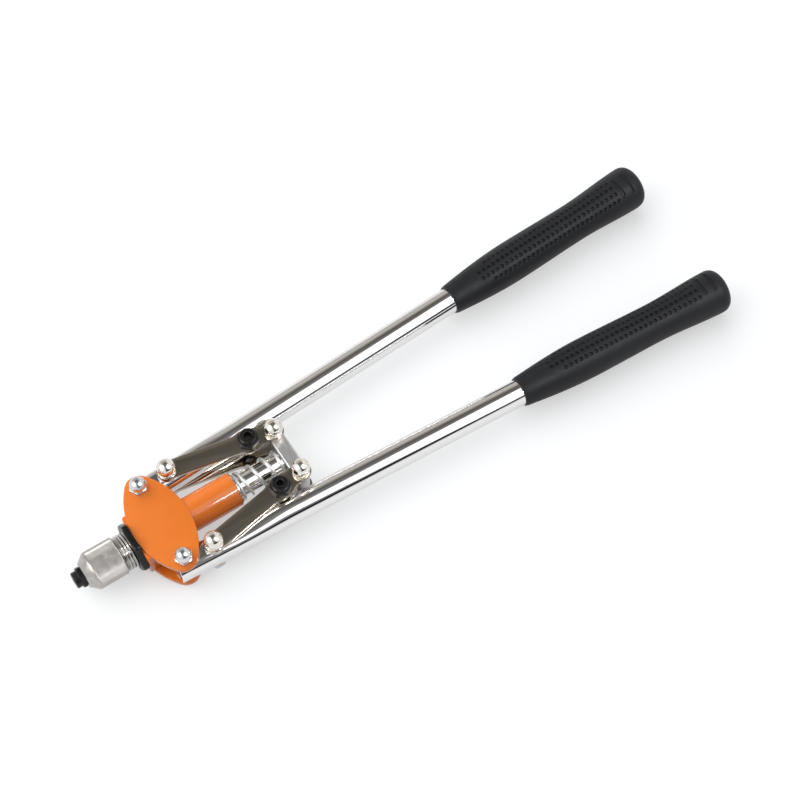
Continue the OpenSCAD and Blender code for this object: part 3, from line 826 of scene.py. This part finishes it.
def make_handles():
    for side in SIDES:
        place, body = handle_frame(side), f"handle_{side}"
        tube = new_object(f"handle_tube_{side}_mesh", moved(tube_shape(), place))
        pins = [moved(cylinder(BOLT_R + gap, -9, 9), at(*p[side]))
                for p, gap in ((PIVOT, 0.08), (LINK_PIN, 0))]
        combine(tube, pins, "DIFFERENCE")
        finish_piece(tube, body, CHROME, [f"handle_tube_{side}"], sharp=40)
        twist = math.radians(12) * SIDES[side]
        make(f"grip_{side}", moved(grip_shape(twist), place), body, RUBBER, 0, 60)


# ---------------------------------------------------------------- links
def strap_outline():
    """A strap with round ends and a round boss for the spare nosepiece, blended into it."""
    boss = LINK_L - LINK_BOSS_REACH
    t = np.linspace(0, math.pi, 160)
    u = (LINK_L / 2) - (LINK_L / 2 + LINK_END_R) * np.cos(t)

    def bulge(centre, radius):
        return np.sqrt(np.maximum(radius ** 2 - (u - centre) ** 2, 0))

    inside = (u > 0) & (u < LINK_L)
    ends = np.maximum(bulge(0, LINK_END_R), bulge(LINK_L, LINK_END_R))
    width = np.maximum(np.where(inside, LINK_W / 2, 0), ends)
    swell = (LINK_BOSS_R - LINK_W / 2) * np.exp(-((u - boss) / 6.2) ** 4)
    width = width + np.where(inside, swell, 0)
    upper = [(x, w) for x, w in zip(u, width)]
    lower = [(x, -w) for x, w in upper[1:-1]]
    return lower + upper[::-1]


def make_links():
    outline = strap_outline()
    for side in SIDES:
        place = link_frame(side)
        for level, z0, z1 in (("top", LINK_IN_Z, LINK_OUT_Z), ("bottom", -LINK_OUT_Z, -LINK_IN_Z)):
            strap = new_object(f"link_{level}_{side}_mesh", moved(slab(outline, z0, z1, 0.4), place))
            holes = [(0, BOLT_R + 0.08), (LINK_L, SLACK_R)]
            if level == "top":
                holes.append((LINK_L - LINK_BOSS_REACH, NOSE_THREAD_R))
            tools = [moved(cylinder(r, z0 - 1, z1 + 1), place @ at(x, 0, 0)) for x, r in holes]
            combine(strap, tools, "DIFFERENCE")
            finish_piece(strap, f"links_{side}", STRAP, [f"link_{level}_{side}"], sharp=28)


# ---------------------------------------------------------------- stage, light and camera
def make_floor():
    """A white table: matt for the object's shadow, and lifted to white for the camera."""
    mesh = bpy.data.meshes.new("floor")
    reach, z = 4.0, CAD_BOX[0][2]
    mesh.from_pydata([(-reach, -reach, z), (reach, -reach, z), (reach, reach, z), (-reach, reach, z)], [],
                     [(0, 1, 2, 3)])
    floor = bpy.data.objects.new("floor", mesh)
    bpy.context.scene.collection.objects.link(floor)
    material = bpy.data.materials.new("white_table")
    material.use_nodes = True
    tree = material.node_tree
    nodes, links = tree.nodes, tree.links
    shader = nodes["Principled BSDF"]
    shader.inputs["Roughness"].default_value = 0.9
    shader.inputs["Specular IOR Level"].default_value = 0.1
    camera_lift, gloss_lift = 0.48, 0.42
    glow = nodes.new("ShaderNodeEmission")
    glow.inputs["Color"].default_value = (1, 1, 1, 1)
    path = nodes.new("ShaderNodeLightPath")
    white = nodes.new("ShaderNodeMix")
    white.data_type = "RGBA"
    white.inputs["A"].default_value = (0.45, 0.45, 0.45, 1)
    white.inputs["B"].default_value = (0.55, 0.56, 0.57, 1)
    links.new(path.outputs["Is Camera Ray"], white.inputs["Factor"])
    links.new(white.outputs["Result"], shader.inputs["Base Color"])
    for_camera = nodes.new("ShaderNodeMath")
    for_camera.operation = "MULTIPLY"
    for_camera.inputs[1].default_value = camera_lift
    links.new(path.outputs["Is Camera Ray"], for_camera.inputs[0])
    lift = nodes.new("ShaderNodeMath")
    lift.operation = "MULTIPLY_ADD"
    lift.inputs[1].default_value = gloss_lift
    links.new(path.outputs["Is Glossy Ray"], lift.inputs[0])
    links.new(for_camera.outputs[0], lift.inputs[2])
    links.new(lift.outputs[0], glow.inputs["Strength"])
    add = nodes.new("ShaderNodeAddShader")
    links.new(shader.outputs[0], add.inputs[0])
    links.new(glow.outputs[0], add.inputs[1])
    links.new(add.outputs[0], nodes["Material Output"].inputs["Surface"])
    mesh.materials.append(material)


def shade_at(tree, turn, stops):
    """A colour ramp over an angle in degrees, from stops of (angle, grey, warmth)."""
    ramp = tree.nodes.new("ShaderNodeValToRGB")
    elements = ramp.color_ramp.elements
    while len(elements) < len(stops):
        elements.new(0.5)
    for element, (angle, grey, warmth) in zip(elements, stops):
        element.position = angle / 360 + 0.5
        element.color = (grey * (1 + warmth), grey, grey * (1 - 1.3 * warmth), 1)
    tree.links.new(turn, ramp.inputs["Fac"])
    return ramp.outputs["Color"]


def add_background(tree, colour=None, strength=None):
    background = tree.nodes.new("ShaderNodeBackground")
    background.inputs["Color"].default_value = (1, 1, 1, 1)
    if colour:
        tree.links.new(colour, background.inputs["Color"])
    if strength:
        tree.links.new(strength, background.inputs["Strength"])
    return background.outputs[0]


def make_world():
    """A white studio: what shiny parts reflect, turning round X, and a soft window light for the rest."""
    world = bpy.data.worlds.new("studio")
    bpy.context.scene.world = world
    world.use_nodes = True
    tree = world.node_tree
    nodes, links = tree.nodes, tree.links
    nodes.clear()
    place = nodes.new("ShaderNodeTexCoord")
    split = nodes.new("ShaderNodeSeparateXYZ")
    links.new(place.outputs["Generated"], split.inputs[0])
    turn = nodes.new("ShaderNodeMath")
    turn.operation = "ARCTAN2"
    links.new(split.outputs["Y"], turn.inputs[0])
    links.new(split.outputs["Z"], turn.inputs[1])
    share = nodes.new("ShaderNodeMapRange")
    share.inputs["From Min"].default_value = math.pi
    share.inputs["From Max"].default_value = -math.pi
    links.new(turn.outputs[0], share.inputs["Value"])
    # Far wall, dim ceiling over the tool, then the dark gap between the near soft box and the table
    stops = [(-100, 0.88, 0.0), (-88, 0.62, 0.02), (-77, 0.40, 0.05), (-62, 0.54, 0.06), (-46, 0.32, 0.07),
             (-32, 0.095, 0.07), (-22, 0.105, 0.06), (-8, 0.17, 0.04), (2, 0.24, 0.03), (56, 0.20, 0.0),
             (60, 0.015, -0.05), (74, 0.015, -0.05), (79, 0.80, 0.0), (95, 0.90, 0.0)]
    # The ceiling is dim only over the tool: towards its ends the studio is white
    middle, dim_to, white_from = 0.08, 0.38, 0.58
    off_centre = nodes.new("ShaderNodeMath")
    off_centre.operation = "SUBTRACT"
    off_centre.inputs[1].default_value = middle
    links.new(split.outputs["X"], off_centre.inputs[0])
    distance = nodes.new("ShaderNodeMath")
    distance.operation = "ABSOLUTE"
    links.new(off_centre.outputs[0], distance.inputs[0])
    ends = nodes.new("ShaderNodeMapRange")
    ends.inputs["From Min"].default_value = dim_to
    ends.inputs["From Max"].default_value = white_from
    links.new(distance.outputs[0], ends.inputs["Value"])
    whiten = nodes.new("ShaderNodeMix")
    whiten.data_type = "RGBA"
    whiten.inputs["B"].default_value = (0.84, 0.83, 0.80, 1)
    links.new(ends.outputs["Result"], whiten.inputs["Factor"])
    links.new(shade_at(tree, share.outputs["Result"], stops), whiten.inputs["A"])
    shiny = add_background(tree, whiten.outputs["Result"])
    toward_window = nodes.new("ShaderNodeVectorMath")
    toward_window.operation = "DOT_PRODUCT"
    toward_window.inputs[1].default_value = Vector((-0.30, 0.76, 0.58)).normalized()
    links.new(place.outputs["Generated"], toward_window.inputs[0])
    brightness = nodes.new("ShaderNodeMapRange")
    for key, value in (("From Min", 0.45), ("From Max", 1.0), ("To Min", 0.16), ("To Max", 2.3)):
        brightness.inputs[key].default_value = value
    links.new(toward_window.outputs["Value"], brightness.inputs["Value"])
    soft = add_background(tree, strength=brightness.outputs["Result"])
    path = nodes.new("ShaderNodeLightPath")
    by_gloss = nodes.new("ShaderNodeMixShader")
    links.new(path.outputs["Is Glossy Ray"], by_gloss.inputs["Fac"])
    links.new(soft, by_gloss.inputs[1])
    links.new(shiny, by_gloss.inputs[2])
    by_camera = nodes.new("ShaderNodeMixShader")
    links.new(path.outputs["Is Camera Ray"], by_camera.inputs["Fac"])
    links.new(by_gloss.outputs[0], by_camera.inputs[1])
    links.new(add_background(tree), by_camera.inputs[2])
    output = nodes.new("ShaderNodeOutputWorld")
    links.new(by_camera.outputs[0], output.inputs["Surface"])


def soft_box(name, direction, distance, size, power, lights_matt=True):
    light = bpy.data.lights.new(name, "AREA")
    light.shape = "RECTANGLE"
    light.size, light.size_y = size
    light.energy = power
    lamp = bpy.data.objects.new(name, light)
    bpy.context.scene.collection.objects.link(lamp)
    way = Vector(direction).normalized()
    lamp.location = AIM + way * distance
    lamp.rotation_euler = way.to_track_quat("Z", "Y").to_euler()
    lamp.visible_diffuse = lights_matt


def make_lights():
    """Two large soft boxes, near and left, each with a hot lamp that only makes highlights."""
    near, left = (0.36, -0.46, 0.81), (-0.75, 0.10, 0.65)
    soft_box("near_soft_box", near, 1.6, (1.30, 1.60), 7.2)
    soft_box("near_lamp", (0.29, -0.55, 0.78), 1.5, (0.50, 0.20), 6.5, False)
    soft_box("left_soft_box", left, 1.6, (1.4, 1.4), 6.8)
    soft_box("left_lamp", left, 1.5, (0.35, 0.35), 4.0, False)


def make_camera():
    azimuth, elevation, roll = math.radians(-33.4), math.radians(62.7), math.radians(0.46)
    distance, lens = 1.2, 90.1
    back = Vector((math.sin(azimuth) * math.cos(elevation), -math.cos(azimuth) * math.cos(elevation),
                   math.sin(elevation)))
    camera = bpy.data.cameras.new("camera")
    camera.lens = lens
    camera.sensor_width = 36
    camera.clip_end = 20
    eye = bpy.data.objects.new("camera", camera)
    bpy.context.scene.collection.objects.link(eye)
    eye.location = AIM + back * distance
    turn = back.to_track_quat("Z", "Y") @ Matrix.Rotation(roll, 3, "Z").to_quaternion()
    eye.rotation_euler = turn.to_euler()
    bpy.context.scene.camera = eye


make_camera()
make_floor()
make_world()
make_lights()
make_head()
make_nose()
make_pull_unit()
make_handles()
make_links()
make_fasteners()
bpy.context.scene.view_settings.view_transform = "Standard"
